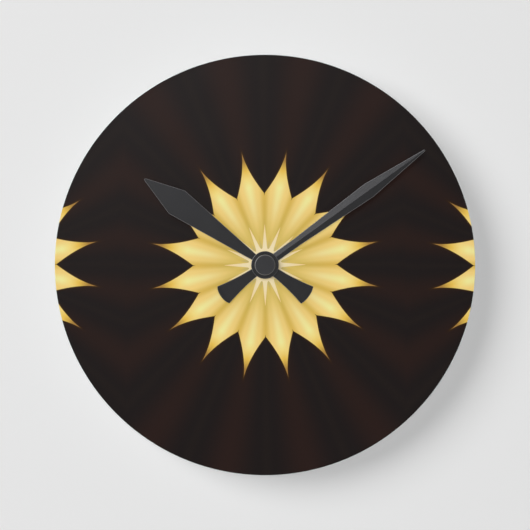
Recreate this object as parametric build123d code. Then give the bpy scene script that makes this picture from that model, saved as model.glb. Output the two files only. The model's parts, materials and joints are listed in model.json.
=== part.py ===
from build123d import *
from math import cos, pi, radians, sin
import os

# Round wall clock with a battery quartz movement.
# Every piece is drawn on the bench: X to the right, Y towards twelve o'clock, Z away from the wall,
# with the hands' axis on Z and the wall at Z = 0. on_the_wall() then stands it up: the dial faces -Y.
# All lengths are in millimetres.

# ---- dial ----
dial_diameter = 203.2
dial_thickness = 3.0
dial_edge_chamfer = 0.3
print_thickness = 0.15
print_margin = 0.35
rubber_washer_radius = 9.0
rubber_washer_thickness = 1.0

# ---- hands, as they stand just after nine minutes past ten; the hour hand was pushed on a degree ahead ----
shown_hour = 10
shown_minute = 9.05
hour_hand_ahead = 1.0
minute_hand_length = 93.9
minute_shoulder_at = 61.0
minute_shoulder_half_width = 3.75
minute_waist_at = 19.0
minute_waist_half_width = 2.1
minute_root_half_width = 2.1
minute_tip_half_width = 0.45
minute_ridge_height = 0.85
minute_edge_height = 0.25
hour_hand_length = 70.8
hour_shoulder_at = 51.8
hour_shoulder_half_width = 6.7
hour_root_half_width = 1.7
hour_tip_half_width = 0.7
tail_length = 25.85
tail_half_width = 5.1
tail_middle_half_width = 2.76
tail_root_half_width = 1.97
tail_end_bulge = 0.95
tail_corner_radius = 0.6
hand_thickness = 0.5
hand_edge_chamfer = 0.18
hub_radius = 6.6
hub_height = 0.9
cap_radius = 4.9
cap_height = 1.6
cap_edge_radius = 0.5
cap_wall = 0.8

# ---- threaded bush and what clamps the dial ----
bush_radius = 4.0
bush_flange_radius = 5.6
bush_flange_thickness = 0.8
bush_tip_above_nut = 0.4
thread_pitch = 0.75
thread_depth = 0.32
nut_across_flats = 11.0
nut_thickness = 2.2
nut_edge_chamfer = 0.4
nut_crown_gap = 0.2
front_washer_radius = 6.1
front_washer_thickness = 0.5

# ---- arbors and pipes ----
arbor_radius = 0.5
pivot_radius = 0.35
pivot_length = 0.85
minute_pipe_radius = 1.6
minute_pipe_rear_radius = 1.3
minute_stud_radius = 1.35
hour_pipe_wall = 0.9
riveted_end_lip = 0.4
riveted_end_height = 0.5
pipe_flange_lip = 1.05
pipe_flange_thickness = 0.4
clutch_thickness = 0.2
clutch_disc_lip = 1.3
clutch_leg_reach = 5.2
clutch_leg_width = 1.2
setting_arbor_radius = 1.0
setting_arbor_end = 0.6
motion_stud_radius = 0.55
motion_stud_end = 0.4
collet_flange_radius = 4.4
collet_flange_thickness = 0.6
collet_wall = 0.85
collet_above_hand = 0.4

# ---- clearances ----
pivot_clearance = 0.04
pipe_clearance = 0.06
press_clearance = 0.01
hole_clearance = 0.2
thread_clearance = 0.05
screw_clearance = 0.05
hand_gap = 0.4
pivot_end_gap = 0.05
hour_boss_gap = 0.3
screw_end_gap = 0.4

# ---- gear train: teeth, distances between axes and wheel thickness ----
rotor_teeth = 8
intermediate_teeth = 60
intermediate_pinion_teeth = 10
seconds_teeth = 40
seconds_pinion_teeth = 8
third_teeth = 60
third_pinion_teeth = 8
centre_teeth = 64
minute_pinion_teeth = 12
motion_teeth = 36
motion_pinion_teeth = 10
hour_teeth = 40
setting_teeth = 12
train_distance = 9.0
rotor_module = 0.22
motion_module = 0.30
rotor_direction = 120.0
motion_direction = 90.0
setting_direction = 30.0
wheel_thickness = 0.8
pinion_overhang = 0.2
layer_pitch = 1.7
first_layer_gap = 0.8
wheel_windows = 5
window_radius_share = 0.2
window_place_share = 0.58

# ---- motor ----
magnet_radius = 2.8
magnet_length = 2.8
magnet_gap = 1.0
stator_hole_gap = 0.5
stator_thickness = 1.0
stator_width = 17.0
stator_yoke_height = 10.2
stator_leg_width = 3.5
stator_leg_height = 8.0
core_width = 2.0
core_end_width = 3.2
core_edge_inset = 0.5
core_thickness = 1.0
bobbin_flange_radius = 2.35
bobbin_flange_thickness = 0.5
bobbin_tube_radius = 1.45
bobbin_side_gap = 0.4
winding_radius = 2.15
core_screw_head_radius = 1.3
core_screw_head_height = 0.7
core_screw_radius = 0.6
core_slot_width = 0.3
core_slot_depth = 0.25

# ---- movement case ----
case_wall = 1.2
case_corner_radius = 3.0
case_edge_radius = 0.6
cover_thickness = 1.4
space_above = 26.8
space_below_wheel = 2.6
cell_side_gap = 0.15
cell_positive_gap = 0.75
cell_negative_gap = 2.35
plate_thickness = 1.0
plate_edge_gap = 0.9
plate_corner_radius = 1.0
pillar_radius = 1.7
pillar_inset = 3.3
plate_screw_head_radius = 1.5
plate_screw_head_height = 0.8
plate_screw_radius = 0.8
plate_screw_depth = 3.0
plate_slot_length = 1.8
plate_slot_width = 0.35
plate_slot_depth = 0.35
latch_width = 5.0
latch_length = 3.8
latch_thickness = 0.8
latch_catch = 0.7
latch_catch_height = 1.2
upper_latch_share = 0.75
latch_gap = 0.1

# ---- hanger ear ----
nail_hole_radius = 3.0
nail_slot_radius = 1.6
nail_slot_rise = 4.2
nail_hole_above_case = 5.5
ear_thickness = 2.6
ear_margin = 4.8
ear_root_width = 26.0
ear_root_height = 1.0

# ---- hand-setting knob ----
knob_radius = 5.5
knob_thickness = 1.8
knob_grooves = 24
knob_groove_radius = 0.45
knob_well_gap = 0.7
knob_recess = 0.2
knob_floor_gap = 0.2
knob_boss_radius = 2.4
knob_rim = 1.1
knob_bar_width = 1.6
knob_bar_inset = 0.8
well_wall = 1.0
setting_collar_radius = 1.6
setting_collar_thickness = 0.4
setting_collar_gap = 0.1

# ---- circuit and contacts ----
board_height = 5.6
board_thickness = 1.0
board_side_gap = 2.8
board_top_gap = 0.8
chip_place_share = 0.45
crystal_place_share = -0.35
chip_radius = 2.6
chip_height = 1.2
chip_round_share = 0.75
crystal_radius = 1.0
crystal_length = 6.0
crystal_round_share = 0.4
crystal_lead_width = 0.24
crystal_lead_length = 1.2
contact_thickness = 0.35
contact_height = 9.0
contact_width = 8.0
contact_strip_width = 2.0
contact_wall_gap = 0.05
contact_finger_length = 4.2
contact_finger_inset = 0.3
contact_dimple_radius = 2.2
leaf_width = 5.0
leaf_end_inset = 0.4

# ---- size AA cell ----
cell_diameter = 14.5
cell_length = 50.5
cell_button_radius = 2.75
cell_button_height = 1.3
cell_sleeve_thickness = 0.12
cell_sleeve_margin = 0.7
cell_edge_radius = 0.5

# ---- tooth forms, in modules and shares of the tooth ----
wheel_form = (0.95, 1.45, 0.80, 0.42)
pinion_form = (0.80, 1.45, 0.72, 0.45)
tooth_bulge_at = 0.55
tooth_bulge = 1.12

# ---- distances between axes, modules and places that follow ----
seconds_module = 2 * train_distance / (seconds_teeth + intermediate_pinion_teeth)
third_module = 2 * train_distance / (third_teeth + seconds_pinion_teeth)
centre_module = 2 * train_distance / (centre_teeth + third_pinion_teeth)
rotor_distance = rotor_module * (intermediate_teeth + rotor_teeth) / 2
motion_distance = motion_module * (motion_teeth + minute_pinion_teeth) / 2
hour_module = 2 * motion_distance / (hour_teeth + motion_pinion_teeth)
setting_distance = motion_module * (motion_teeth + setting_teeth) / 2


def step_from(place, distance, direction):
    """The point at a distance from a place, in a direction given in degrees from +X."""
    turn = radians(direction)
    return (place[0] + distance * cos(turn), place[1] + distance * sin(turn))


def outer_radius(teeth, module, form):
    return module * (teeth / 2 + form[0])


centre_axis = (0.0, 0.0)
third_axis = step_from(centre_axis, train_distance, 0)
intermediate_axis = step_from(centre_axis, train_distance, 180)
rotor_axis = step_from(intermediate_axis, rotor_distance, rotor_direction)
motion_axis = step_from(centre_axis, motion_distance, motion_direction)
setting_axis = step_from(motion_axis, setting_distance, setting_direction)

# ---- case outline that follows from the cell and the wheels ----
largest_wheel = max(
    outer_radius(centre_teeth, centre_module, wheel_form),
    outer_radius(third_teeth, third_module, wheel_form),
)
inner_half_width = (cell_length + cell_positive_gap + cell_negative_gap) / 2
case_half_width = inner_half_width + case_wall
space_below = largest_wheel + space_below_wheel
bay_top = -(space_below + case_wall)
bay_bottom = bay_top - cell_diameter - 2 * cell_side_gap
case_bottom = bay_bottom - case_wall
case_top = space_above + case_wall
cell_axis_height = (bay_top + bay_bottom) / 2


def layer(number):
    """Height of the rear face of a wheel layer, counted from the rear cover."""
    return cover_thickness + first_layer_gap + number * layer_pitch


intermediate_layer = layer(0)
seconds_layer = layer(1)
third_layer = layer(2)
centre_layer = layer(3)
plate_layer = layer(4)
motion_layer = layer(5)
hour_layer = layer(6)
train_top = hour_layer + wheel_thickness + bush_flange_thickness + first_layer_gap

# ---- heights above the wall that follow ----
case_depth = case_wall + max(cell_diameter + 2 * cell_side_gap, train_top)
front_wall = case_depth - case_wall
cell_axis_depth = front_wall - cell_side_gap - cell_diameter / 2
dial_back = case_depth + rubber_washer_thickness
dial_front = dial_back + dial_thickness
print_front = dial_front + print_thickness
nut_back = print_front + front_washer_thickness
nut_front = nut_back + nut_thickness
bush_tip = nut_front + bush_tip_above_nut
collet_back = bush_tip + hand_gap
hour_hand_back = collet_back + collet_flange_thickness
hour_hand_front = hour_hand_back + hand_thickness
hour_pipe_tip = hour_hand_front + collet_above_hand + hand_gap / 2
minute_hand_back = hour_pipe_tip + 3 * hand_gap
hub_front = minute_hand_back + hub_height
cap_front = hub_front + cap_height
minute_stud_tip = cap_front - cap_wall

# ---- radii that follow ----
pipe_bore_radius = arbor_radius + pipe_clearance
hour_pipe_bore_radius = minute_pipe_radius + pipe_clearance
hour_pipe_radius = hour_pipe_bore_radius + hour_pipe_wall
bush_bore_radius = hour_pipe_radius + pipe_clearance
collet_radius = hour_pipe_radius + press_clearance + collet_wall
dial_hole_radius = bush_radius + hole_clearance
pivot_hole_radius = pivot_radius + pivot_clearance
minute_angle = 6.0 * shown_minute
hour_angle = 30.0 * (shown_hour % 12) + 0.5 * shown_minute + hour_hand_ahead


# ---- small helpers ----
def disc(radius, low, high, at=(0, 0)):
    """A cylinder between two heights."""
    return Pos(at[0], at[1], low) * Cylinder(
        radius, high - low, align=(Align.CENTER, Align.CENTER, Align.MIN)
    )


def ring(outer, inner, low, high, at=(0, 0)):
    return disc(outer, low, high, at) - disc(inner, low, high, at)


def slab(x, y, z):
    """A box between pairs of limits, in any order."""
    size = [abs(pair[1] - pair[0]) for pair in (x, y, z)]
    middle = [(pair[0] + pair[1]) / 2 for pair in (x, y, z)]
    return Pos(*middle) * Box(*size)


def raised(face, low, high):
    """A flat outline in the XY plane carried from one height to another."""
    return extrude(Pos(0, 0, low) * face, amount=high - low, dir=(0, 0, 1))


def rounded_plate(left, right, bottom, top, corner, low, high):
    plan = Pos((left + right) / 2, (bottom + top) / 2) * RectangleRounded(
        right - left, top - bottom, corner
    )
    return raised(plan, low, high)


def on_the_wall(piece):
    """Stand a piece up from the bench: +Z goes to -Y and +Y goes to +Z."""
    return Rot(90, 0, 0) * piece


# ---- gears ----
def tooth_points(teeth, module, form, phase):
    """Outline of a gear: eight points a tooth, with a slightly barrelled tip and radial flanks."""
    addendum, dedendum, share, tip = form
    pitch_radius = module * teeth / 2
    tip_radius = pitch_radius + addendum * module
    root_radius = pitch_radius - dedendum * module
    bulge_radius = pitch_radius + tooth_bulge_at * addendum * module
    half = share * pi / (2 * teeth)
    half_bulge = half * (1 + tip) / 2 * tooth_bulge
    half_tip = half * tip * pitch_radius / tip_radius
    side = ((root_radius, half), (pitch_radius, half), (bulge_radius, half_bulge), (tip_radius, half_tip))
    one_tooth = [(r, -a) for r, a in side] + [(r, a) for r, a in reversed(side)]
    points = []
    for number in range(teeth):
        middle = radians(phase) + 2 * pi * number / teeth
        points += [(r * cos(middle + a), r * sin(middle + a)) for r, a in one_tooth]
    return points


def gear(teeth, module, form, low, high, at, phase):
    outline = Polyline(*tooth_points(teeth, module, form, phase), close=True)
    return raised(Pos(at[0], at[1]) * make_face(outline), low, high)


def wheel(teeth, module, rear, at, phase):
    return gear(teeth, module, wheel_form, rear, rear + wheel_thickness, at, phase)


def pinion(teeth, module, wheel_rear, at, phase):
    """A pinion that stands a little proud of the wheel it meshes with on both sides."""
    low = wheel_rear - pinion_overhang
    high = wheel_rear + wheel_thickness + pinion_overhang
    return gear(teeth, module, pinion_form, low, high, at, phase)


def phase_of_mate(phase, teeth, mate_teeth, direction):
    """Where a mate's first tooth points, in degrees, so that its teeth fall in the gear's gaps."""
    share = (direction - phase) * teeth / 360
    return direction + 180 - (0.5 - share % 1) * 360 / mate_teeth


def pivoted_arbor(at, wide_from, wide_to):
    """A steel arbor with a thinner pivot at each end."""
    body = disc(arbor_radius, wide_from, wide_to, at)
    return body + disc(pivot_radius, wide_from - pivot_length, wide_to + pivot_length, at)


third_pinion_phase = phase_of_mate(0, centre_teeth, third_pinion_teeth, 0)
seconds_pinion_phase = phase_of_mate(0, third_teeth, seconds_pinion_teeth, 180)
intermediate_pinion_phase = phase_of_mate(0, seconds_teeth, intermediate_pinion_teeth, 180)
rotor_phase = phase_of_mate(0, intermediate_teeth, rotor_teeth, rotor_direction)
motion_phase = phase_of_mate(0, minute_pinion_teeth, motion_teeth, motion_direction)
hour_phase = phase_of_mate(0, motion_pinion_teeth, hour_teeth, motion_direction + 180)
setting_phase = phase_of_mate(motion_phase, motion_teeth, setting_teeth, setting_direction)
arbor_rear = cover_thickness + pinion_overhang
arbor_front = plate_layer - pinion_overhang


# ---- dial and its clamping ----
def dial_panel():
    plate = disc(dial_diameter / 2, dial_back, dial_front)
    plate = chamfer(plate.edges().filter_by(GeomType.CIRCLE), dial_edge_chamfer)
    return plate - disc(dial_hole_radius, dial_back, dial_front)


def dial_print():
    return ring(dial_diameter / 2 - print_margin, dial_hole_radius, dial_front, print_front)


def rubber_washer():
    return ring(rubber_washer_radius, dial_hole_radius, case_depth, dial_back)


def front_washer():
    return ring(front_washer_radius, dial_hole_radius, print_front, nut_back)


def dial_nut():
    corner_radius = nut_across_flats / 2 / cos(pi / 6)
    nut = raised(RegularPolygon(corner_radius, 6), nut_back, nut_front)
    crown = disc(corner_radius + nut_crown_gap, nut_back, nut_front)
    crown = chamfer(crown.edges().filter_by(GeomType.CIRCLE), nut_edge_chamfer + nut_crown_gap)
    return (nut & crown) - disc(bush_radius + thread_clearance, nut_back, nut_front)


def threaded_bush():
    """Brass bush: flange inside the case, then a threaded shank drawn as rings of the thread's pitch."""
    flange_rear = front_wall - bush_flange_thickness
    thread_start = case_depth + thread_pitch / 2
    turns = int((bush_tip - thread_start) / thread_pitch)
    profile = [(bush_bore_radius, flange_rear), (bush_flange_radius, flange_rear)]
    profile += [(bush_flange_radius, front_wall), (bush_radius, front_wall)]
    for turn in range(turns):
        crest = thread_start + turn * thread_pitch
        profile += [(bush_radius, crest), (bush_radius - thread_depth, crest + thread_pitch / 2)]
    last = thread_start + turns * thread_pitch
    profile += [(bush_radius, last), (bush_radius - thread_depth, bush_tip), (bush_bore_radius, bush_tip)]
    section = make_face(Polyline(*[(x, 0, z) for x, z in profile], close=True))
    return revolve(section, Axis.Z)


# ---- hands ----
def mirrored_outline(right_side):
    """A closed outline from points listed up its right side."""
    left_side = [(-x, y) for x, y in reversed(right_side)]
    return make_face(Polyline(*right_side, *left_side, close=True))


def tail_outline():
    """Outline of a tail: hollow sides that flare towards a rounded end."""
    corner_at = -(tail_length - tail_end_bulge)
    side_left, side_right = [
        ThreePointArc(
            (side * tail_root_half_width, 0),
            (side * tail_middle_half_width, corner_at / 2),
            (side * tail_half_width, corner_at),
        )
        for side in (-1, 1)
    ]
    end = ThreePointArc((-tail_half_width, corner_at), (0, -tail_length), (tail_half_width, corner_at))
    top = Line((tail_root_half_width, 0), (-tail_root_half_width, 0))
    tail = make_face([side_left, end, side_right, top])
    corners = tail.vertices().sort_by(Axis.Y)[:2]
    return fillet(corners, tail_corner_radius)


def minute_blade_outline():
    return mirrored_outline(
        [
            (minute_root_half_width, 0),
            (minute_waist_half_width, minute_waist_at),
            (minute_shoulder_half_width, minute_shoulder_at),
            (minute_tip_half_width, minute_hand_length - minute_tip_half_width),
            (minute_tip_half_width / 2, minute_hand_length),
        ]
    )


def hour_blade_outline():
    return mirrored_outline(
        [
            (hour_root_half_width, 0),
            (hour_root_half_width, hub_radius),
            (hour_shoulder_half_width, hour_shoulder_at),
            (hour_tip_half_width, hour_hand_length - hour_tip_half_width),
            (hour_tip_half_width / 2, hour_hand_length),
        ]
    )


def creased_blade(outline, length, back):
    """A blade whose top slopes down from a ridge along its middle to thin edges."""
    slope = (minute_ridge_height - minute_edge_height) / minute_shoulder_half_width
    reach = minute_ridge_height / slope
    roof = Polyline((-reach, 0, back), (0, 0, back + minute_ridge_height), (reach, 0, back), close=True)
    ridge = extrude(make_face(roof), amount=length, dir=(0, 1, 0))
    return raised(outline, back, back + minute_ridge_height) & ridge


def flat_hand(outline, back):
    """A stamped plate with its upper edge broken by a small chamfer."""
    plate = raised(outline, back, back + hand_thickness)
    return chamfer(plate.faces().sort_by(Axis.Z)[-1].outer_wire().edges(), hand_edge_chamfer)


def turned_to(piece, angle):
    """Turn a hand clockwise from twelve o'clock."""
    return Rot(0, 0, -angle) * piece


def hand_hub(back, front):
    hub = disc(hub_radius, back, front)
    return chamfer(hub.edges().filter_by(GeomType.CIRCLE).sort_by(Axis.Z)[-1], hand_edge_chamfer)


def minute_hand():
    blade = creased_blade(minute_blade_outline(), minute_hand_length, minute_hand_back)
    tail = flat_hand(tail_outline(), minute_hand_back)
    hub = hand_hub(minute_hand_back, hub_front)
    bore = disc(minute_stud_radius + press_clearance, minute_hand_back, hub_front)
    return turned_to(blade + tail + hub - bore, minute_angle)


def hour_hand():
    blade = flat_hand(hour_blade_outline(), hour_hand_back)
    tail = flat_hand(tail_outline(), hour_hand_back)
    hub = hand_hub(hour_hand_back, hour_hand_front)
    bore = disc(collet_radius + press_clearance, hour_hand_back, hour_hand_front)
    return turned_to(blade + tail + hub - bore, hour_angle)


def hour_hand_collet():
    flange = disc(collet_flange_radius, collet_back, hour_hand_back)
    tube = disc(collet_radius, collet_back, hour_hand_front + collet_above_hand)
    bore = disc(hour_pipe_radius + press_clearance, collet_back, hour_hand_front + collet_above_hand)
    return flange + tube - bore


def hub_cap():
    cap = disc(cap_radius, hub_front, cap_front)
    cap = fillet(cap.edges().filter_by(GeomType.CIRCLE).sort_by(Axis.Z)[-1], cap_edge_radius)
    return cap - disc(minute_stud_radius + press_clearance, hub_front, minute_stud_tip)


# ---- motion work and gear train ----
def minute_pipe():
    """Pipe that carries the minute hand: riveted end, flange, pinion, then the long front tube."""
    rear = centre_layer - riveted_end_height
    flange_rear = centre_layer + wheel_thickness + clutch_thickness
    pinion_rear = motion_layer - pinion_overhang
    pinion_front = motion_layer + wheel_thickness + pinion_overhang
    pipe = disc(minute_pipe_rear_radius + riveted_end_lip, rear, centre_layer)
    pipe += disc(minute_pipe_rear_radius, centre_layer, pinion_rear)
    pipe += disc(minute_pipe_rear_radius + pipe_flange_lip, flange_rear, flange_rear + pipe_flange_thickness)
    pipe += pinion(minute_pinion_teeth, motion_module, motion_layer, centre_axis, 0)
    pipe += disc(minute_pipe_radius, pinion_front, minute_hand_back)
    pipe += disc(minute_stud_radius, minute_hand_back, minute_stud_tip)
    return pipe - disc(pipe_bore_radius, rear, minute_stud_tip)


def centre_wheel():
    blank = wheel(centre_teeth, centre_module, centre_layer, centre_axis, 0)
    blank -= disc(minute_pipe_rear_radius + press_clearance, centre_layer, centre_layer + wheel_thickness)
    return blank - crossings(centre_teeth * centre_module / 2, centre_layer, centre_axis)


def crossings(pitch_radius, rear, at):
    """Round windows that lighten a wheel."""
    hole_radius = window_radius_share * pitch_radius
    holes = Part()
    for number in range(wheel_windows):
        place = step_from(at, window_place_share * pitch_radius, 360 * number / wheel_windows)
        holes += disc(hole_radius, rear, rear + wheel_thickness, place)
    return holes


def clutch_spring():
    """Thin three-legged spring that presses the centre wheel against the pipe's riveted end."""
    low = centre_layer + wheel_thickness
    high = low + clutch_thickness
    half = clutch_leg_width / 2
    spring = disc(minute_pipe_rear_radius + clutch_disc_lip, low, high)
    for leg in range(3):
        blade = slab((0, clutch_leg_reach), (-half, half), (low, high))
        spring += Rot(0, 0, 120 * leg) * blade
    return spring - disc(minute_pipe_rear_radius + press_clearance, low, high)


def hour_wheel():
    low = hour_layer - pinion_overhang
    boss_top = front_wall - bush_flange_thickness - hour_boss_gap
    body = wheel(hour_teeth, hour_module, hour_layer, centre_axis, hour_phase)
    body += disc(hour_pipe_radius + wheel_thickness, low, boss_top)
    body += disc(hour_pipe_radius, low, hour_pipe_tip)
    return body - disc(hour_pipe_bore_radius, low, hour_pipe_tip)


def motion_wheel():
    top = hour_layer + wheel_thickness + pinion_overhang
    rear = motion_layer
    body = wheel(motion_teeth, motion_module, rear, motion_axis, motion_phase)
    body += gear(motion_pinion_teeth, hour_module, pinion_form, rear + wheel_thickness, top, motion_axis, 0)
    return body - disc(motion_stud_radius + pivot_clearance, rear, top, motion_axis)


def third_pinion():
    steel = pivoted_arbor(third_axis, arbor_rear, arbor_front)
    return steel + pinion(third_pinion_teeth, centre_module, centre_layer, third_axis, third_pinion_phase)


def plain_wheel(teeth, module, rear, at):
    blank = wheel(teeth, module, rear, at, 0)
    blank -= disc(arbor_radius + press_clearance, rear, rear + wheel_thickness, at)
    return blank - crossings(teeth * module / 2, rear, at)


def third_wheel():
    return plain_wheel(third_teeth, third_module, third_layer, third_axis)


def seconds_wheel():
    return plain_wheel(seconds_teeth, seconds_module, seconds_layer, centre_axis)


def intermediate_wheel():
    return plain_wheel(intermediate_teeth, rotor_module, intermediate_layer, intermediate_axis)


def seconds_arbor():
    """Long steel arbor that runs through the minute pipe and ends under the cap."""
    steel = disc(pivot_radius, arbor_rear - pivot_length, arbor_rear)
    steel += disc(arbor_radius, arbor_rear, minute_stud_tip - hand_gap)
    return steel + pinion(
        seconds_pinion_teeth, third_module, third_layer, centre_axis, seconds_pinion_phase
    )


def intermediate_pinion():
    steel = pivoted_arbor(intermediate_axis, arbor_rear, arbor_front)
    return steel + pinion(
        intermediate_pinion_teeth,
        seconds_module,
        seconds_layer,
        intermediate_axis,
        intermediate_pinion_phase,
    )


magnet_rear = intermediate_layer + wheel_thickness + magnet_gap


def rotor_pinion():
    steel = pivoted_arbor(rotor_axis, arbor_rear, arbor_front)
    return steel + pinion(rotor_teeth, rotor_module, intermediate_layer, rotor_axis, rotor_phase)


def rotor_magnet():
    return ring(
        magnet_radius, arbor_radius + press_clearance, magnet_rear, magnet_rear + magnet_length, rotor_axis
    )


# ---- motor ----
stator_rear = magnet_rear + (magnet_length - stator_thickness) / 2
stator_front = stator_rear + stator_thickness
core_front = stator_front + core_thickness
stator_left = rotor_axis[0] - stator_width / 2
stator_right = rotor_axis[0] + stator_width / 2
yoke_top = rotor_axis[1] + stator_yoke_height / 2
leg_top = yoke_top + stator_leg_height
coil_height = leg_top - core_end_width / 2 - core_edge_inset
coil_depth = stator_front + core_thickness / 2
bobbin_left = stator_left + stator_leg_width + bobbin_side_gap
bobbin_right = stator_right - stator_leg_width - bobbin_side_gap
core_screw_places = [
    (stator_left + stator_leg_width / 2, coil_height),
    (stator_right - stator_leg_width / 2, coil_height),
]


def stator():
    height = (stator_rear, stator_front)
    yoke_bottom = rotor_axis[1] - stator_yoke_height / 2
    plate = slab((stator_left, stator_right), (yoke_bottom, yoke_top), height)
    plate += slab((stator_left, stator_left + stator_leg_width), (yoke_top, leg_top), height)
    plate += slab((stator_right - stator_leg_width, stator_right), (yoke_top, leg_top), height)
    plate -= disc(magnet_radius + stator_hole_gap, stator_rear, stator_front, rotor_axis)
    for place in core_screw_places:
        plate -= disc(core_screw_radius + screw_clearance, stator_rear, stator_front, place)
    return plate


def coil_core():
    height = (stator_front, core_front)
    half, half_end = core_width / 2, core_end_width / 2
    bar = slab((stator_left, stator_right), (coil_height - half, coil_height + half), height)
    for left in (stator_left, stator_right - stator_leg_width):
        ends = (coil_height - half_end, coil_height + half_end)
        bar += slab((left, left + stator_leg_width), ends, height)
    for place in core_screw_places:
        bar -= disc(core_screw_radius + screw_clearance, stator_front, core_front, place)
    return bar


def core_screws():
    head_front = core_front + core_screw_head_height
    length = 2 * core_screw_head_radius
    screws = []
    for place in core_screw_places:
        screw = disc(core_screw_radius, stator_rear, core_front, place)
        screw += disc(core_screw_head_radius, core_front, head_front, place)
        slot = Pos(place[0], place[1], head_front) * Box(length, core_slot_width, 2 * core_slot_depth)
        screws.append(screw - slot)
    return Compound(children=screws)


def along_coil(radius, left, right):
    """A cylinder along X on the coil's axis."""
    turn = Pos(left, coil_height, coil_depth) * Rot(0, 90, 0)
    return turn * Cylinder(radius, right - left, align=(Align.CENTER, Align.CENTER, Align.MIN))


def coil_bobbin():
    body = along_coil(bobbin_tube_radius, bobbin_left, bobbin_right)
    body += along_coil(bobbin_flange_radius, bobbin_left, bobbin_left + bobbin_flange_thickness)
    body += along_coil(bobbin_flange_radius, bobbin_right - bobbin_flange_thickness, bobbin_right)
    half = core_width / 2 + press_clearance
    half_depth = core_thickness / 2 + press_clearance
    passage = slab(
        (bobbin_left, bobbin_right),
        (coil_height - half, coil_height + half),
        (coil_depth - half_depth, coil_depth + half_depth),
    )
    return body - passage


def coil_winding():
    left = bobbin_left + bobbin_flange_thickness
    right = bobbin_right - bobbin_flange_thickness
    return along_coil(winding_radius, left, right) - along_coil(
        bobbin_tube_radius + press_clearance, left, right
    )


# ---- case ----
pillar_places = [
    (side * (inner_half_width - pillar_inset), height)
    for side in (-1, 1)
    for height in (-(space_below - pillar_inset), coil_height)
]
latch_heights = [0.0, upper_latch_share * space_above]
setting_bearing = setting_arbor_radius + pivot_clearance
well_radius = knob_radius + knob_well_gap
well_floor_rear = knob_recess + knob_thickness + knob_floor_gap
well_floor_front = well_floor_rear + well_wall
strip_low = centre_layer - contact_strip_width / 2
strip_high = strip_low + contact_strip_width


def latch_window(side, height, grow):
    """Box that a latch's catch fills, or its window when grown."""
    reach = (inner_half_width - latch_thickness, inner_half_width + latch_catch)
    outer = (reach[0], case_half_width) if grow else reach
    width = latch_width / 2 + grow
    catch_top = cover_thickness + latch_length
    return slab(
        (side * outer[0], side * outer[1]),
        (height - width, height + width),
        (catch_top - latch_catch_height - grow, catch_top + grow),
    )


def front_case():
    shell = rounded_plate(
        -case_half_width, case_half_width, case_bottom, case_top, case_corner_radius, 0, case_depth
    )
    shell = fillet(shell.faces().sort_by(Axis.Z)[-1].outer_wire().edges(), case_edge_radius)
    inside = (-inner_half_width, inner_half_width)
    shell -= slab(inside, (-space_below, space_above), (0, front_wall))
    shell -= slab(inside, (bay_bottom, bay_top), (0, front_wall))
    wide = (-2 * case_half_width, 2 * case_half_width)
    shell -= slab(wide, (bay_top, 2 * case_top), (0, cover_thickness))
    shell -= disc(bush_radius + press_clearance, front_wall, case_depth)
    for side in (-1, 1):
        notch = (side * (inner_half_width - 2 * contact_thickness - 2 * latch_gap), side * inner_half_width)
        shell -= slab(notch, (bay_top, -space_below), (strip_low - latch_gap, strip_high + latch_gap))
        for height in latch_heights:
            shell -= latch_window(side, height, latch_gap)
    for place in pillar_places:
        shell += disc(pillar_radius, plate_layer + plate_thickness, front_wall, place)
        depth = plate_layer + plate_thickness + plate_screw_depth
        shell -= disc(plate_screw_radius + screw_clearance, plate_layer, depth, place)
    return shell


def hanger_ear():
    """Ear above the case, with a round nail hole that narrows upwards into a slot."""
    hole_height = case_top + nail_hole_above_case
    crown = Pos(0, hole_height + nail_slot_rise) * Circle(nail_slot_radius + ear_margin)
    foot = Pos(0, case_top + ear_root_height / 2) * Rectangle(ear_root_width, ear_root_height)
    plan = make_hull(crown.edges() + foot.edges())
    ear = raised(plan, 0, ear_thickness)
    ear -= disc(nail_hole_radius, 0, ear_thickness, (0, hole_height))
    ear -= disc(nail_slot_radius, 0, ear_thickness, (0, hole_height + nail_slot_rise))
    slot = (-nail_slot_radius, nail_slot_radius)
    return ear - slab(slot, (hole_height, hole_height + nail_slot_rise), (0, ear_thickness))


def rear_cover():
    lower_edge = bay_top + latch_gap
    plate = rounded_plate(
        -case_half_width,
        case_half_width,
        lower_edge - 2 * case_corner_radius,
        case_top,
        case_corner_radius,
        0,
        cover_thickness,
    )
    wide = (-2 * case_half_width, 2 * case_half_width)
    plate -= slab(wide, (lower_edge - 3 * case_corner_radius, lower_edge), (0, cover_thickness))
    plate += hanger_ear()
    plate += disc(well_radius + well_wall, 0, well_floor_front, setting_axis)
    plate -= disc(well_radius, 0, well_floor_rear, setting_axis)
    plate -= disc(setting_bearing, well_floor_rear, well_floor_front, setting_axis)
    for side in (-1, 1):
        tongue = (
            side * (inner_half_width - latch_thickness - latch_gap),
            side * (inner_half_width - latch_gap),
        )
        for height in latch_heights:
            width = (height - latch_width / 2, height + latch_width / 2)
            plate += slab(tongue, width, (cover_thickness, cover_thickness + latch_length))
            plate += latch_window(side, height, 0)
    pivot_floor = arbor_rear - pivot_length - pivot_end_gap
    for place in (centre_axis, third_axis, intermediate_axis, rotor_axis):
        plate -= disc(pivot_hole_radius, pivot_floor, cover_thickness, place)
    return plate


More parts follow.
